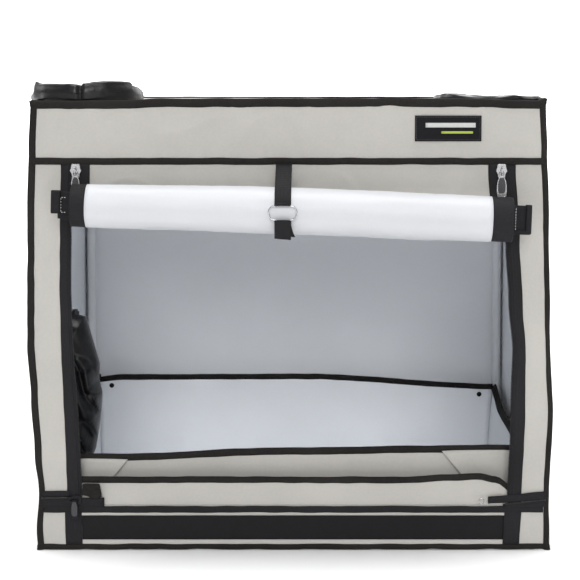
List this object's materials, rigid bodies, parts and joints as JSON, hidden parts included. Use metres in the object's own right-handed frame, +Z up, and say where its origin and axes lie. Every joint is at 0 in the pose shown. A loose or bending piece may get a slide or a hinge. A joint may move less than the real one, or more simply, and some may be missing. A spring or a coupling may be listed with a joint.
{
  "type": "printer enclosure tent",
  "caption": "Box tent on a pole frame that encloses a desktop 3D printer, with a zipped front door rolled up, mesh vent, spill tray and cable ports.",
  "frame": {"origin": "middle of the footprint, on the ground under the floor sheet", "axes": "+Z up, front door towards -Y, +X to the right seen from the front"},
  "size_m": [0.8, 0.6895, 0.7279],
  "materials": {
    "canvas": "light warm grey woven canvas, white liner on its inner face",
    "binding": "brownish black folded edge tape, matt",
    "webbing": "black woven zip tape and strap",
    "liner": "white coated cloth, satin",
    "vent_mesh": "fine black knitted mesh",
    "nylon": "thin black nylon, glossy in its folds",
    "pole_steel": "white powder coat",
    "corner_plastic": "black moulded plastic",
    "zip_metal": "nickel-plated die casting",
    "chrome": "bright plated wire",
    "lock_plastic": "black moulded plastic",
    "label": "dark grey woven label with a stitched border, plain"
  },
  "bodies": {
    "tent": {"front_left_post": "pole_steel", "front_right_post": "pole_steel", "back_left_post": "pole_steel", "back_right_post": "pole_steel", "front_bottom_rail": "pole_steel", "back_bottom_rail": "pole_steel", "front_top_rail": "pole_steel", "back_top_rail": "pole_steel", "left_bottom_rail": "pole_steel", "right_bottom_rail": "pole_steel", "left_top_rail": "pole_steel", "right_top_rail": "pole_steel", "front_hanging_bar": "pole_steel", "back_hanging_bar": "pole_steel", "front_left_bottom_corner": "corner_plastic", "front_right_bottom_corner": "corner_plastic", "back_left_bottom_corner": "corner_plastic", "back_right_bottom_corner": "corner_plastic", "front_left_top_corner": "corner_plastic", "front_right_top_corner": "corner_plastic", "back_left_top_corner": "corner_plastic", "back_right_top_corner": "corner_plastic", "left_front_bar_tee": "corner_plastic", "right_front_bar_tee": "corner_plastic", "left_back_bar_tee": "corner_plastic", "right_back_bar_tee": "corner_plastic", "header_panel": "canvas", "post_panel_left": "canvas", "post_panel_right": "canvas", "base_panel": "canvas", "sill_flap": "canvas", "left_wall": "canvas", "right_wall": "canvas", "back_wall": "canvas", "roof_panel": "canvas", "door_flap": "canvas", "floor_sheet": "liner", "vent_mesh": "vent_mesh", "edge_binding": "binding", "port_ring_left": "binding", "zip_track": "webbing", "label": "label", "port_sleeve_left": "nylon", "roof_sleeve_left": "nylon", "roof_sleeve_right": "nylon", "cord_lock_barrel": "lock_plastic"},
    "door": {"strap_lower": "webbing"},
    "door_roll": {"door_roll": "liner", "door_zip_tape_left": "webbing", "door_zip_tape_right": "webbing"},
    "tray": {"tray": "liner"},
    "slider_left": {"zip_slider_left": "zip_metal"},
    "slider_right": {"zip_slider_right": "zip_metal"},
    "slider_bottom": {"zip_slider_bottom": "zip_metal"},
    "pull_left": {"zip_pull_left": "zip_metal"},
    "pull_right": {"zip_pull_right": "zip_metal"},
    "pull_bottom": {"zip_pull_bottom": "zip_metal"},
    "strap": {"strap_upper": "webbing"},
    "ring": {"strap_ring": "chrome"},
    "lock_button": {"cord_lock_button": "lock_plastic"}
  },
  "joints": [
    {"name": "door_lower", "type": "slide", "parent": "tent", "child": "door", "axis": [0, 0, -1], "range_m": [0, 0.4], "deforming": ["door_flap"]},
    {"name": "door_turn", "type": "hinge", "parent": "door", "child": "door_roll", "pos_m": [0.007, -0.348, 0.5305], "axis": [0.9995, 0, -0.0302], "range_deg": [0, 720]},
    {"name": "tray_lift", "type": "slide", "parent": "tent", "child": "tray", "axis": [0, 0, 1], "range_m": [0, 0.114]},
    {"name": "zip_left_run", "type": "slide", "parent": "tent", "child": "slider_left", "axis": [0, 0, -1], "range_m": [0, 0.46]},
    {"name": "pull_left_swing", "type": "hinge", "parent": "slider_left", "child": "pull_left", "pos_m": [-0.322, -0.307, 0.59], "axis": [-1, 0, 0], "range_deg": [0, 160]},
    {"name": "zip_right_run", "type": "slide", "parent": "tent", "child": "slider_right", "axis": [0, 0, -1], "range_m": [0, 0.46]},
    {"name": "pull_right_swing", "type": "hinge", "parent": "slider_right", "child": "pull_right", "pos_m": [0.326, -0.307, 0.59], "axis": [-1, 0, 0], "range_deg": [0, 160]},
    {"name": "zip_bottom_run", "type": "slide", "parent": "tent", "child": "slider_bottom", "axis": [1, 0, 0], "range_m": [0, 0.6]},
    {"name": "pull_bottom_swing", "type": "hinge", "parent": "slider_bottom", "child": "pull_bottom", "pos_m": [-0.327, -0.307, 0.077], "axis": [-1, 0, 0], "range_deg": [0, 100]},
    {"name": "strap_swing", "type": "hinge", "parent": "tent", "child": "strap", "pos_m": [-0.005, -0.302, 0.6], "axis": [-1, 0, 0], "range_deg": [0, 110]},
    {"name": "ring_swing", "type": "hinge", "parent": "strap", "child": "ring", "pos_m": [-0.005, -0.388, 0.5445], "axis": [-1, 0, 0], "range_deg": [0, 80]},
    {"name": "cord_lock_press", "type": "slide", "parent": "tent", "child": "lock_button", "axis": [0, 0, -1], "range_m": [0, 0.0035], "stiffness_N_per_m": 300, "springref_m": -0.003}
  ],
  "couplings": [
    {"joint": "door_turn", "follows": "door_lower", "rad_per_m": 31.416}
  ]
}
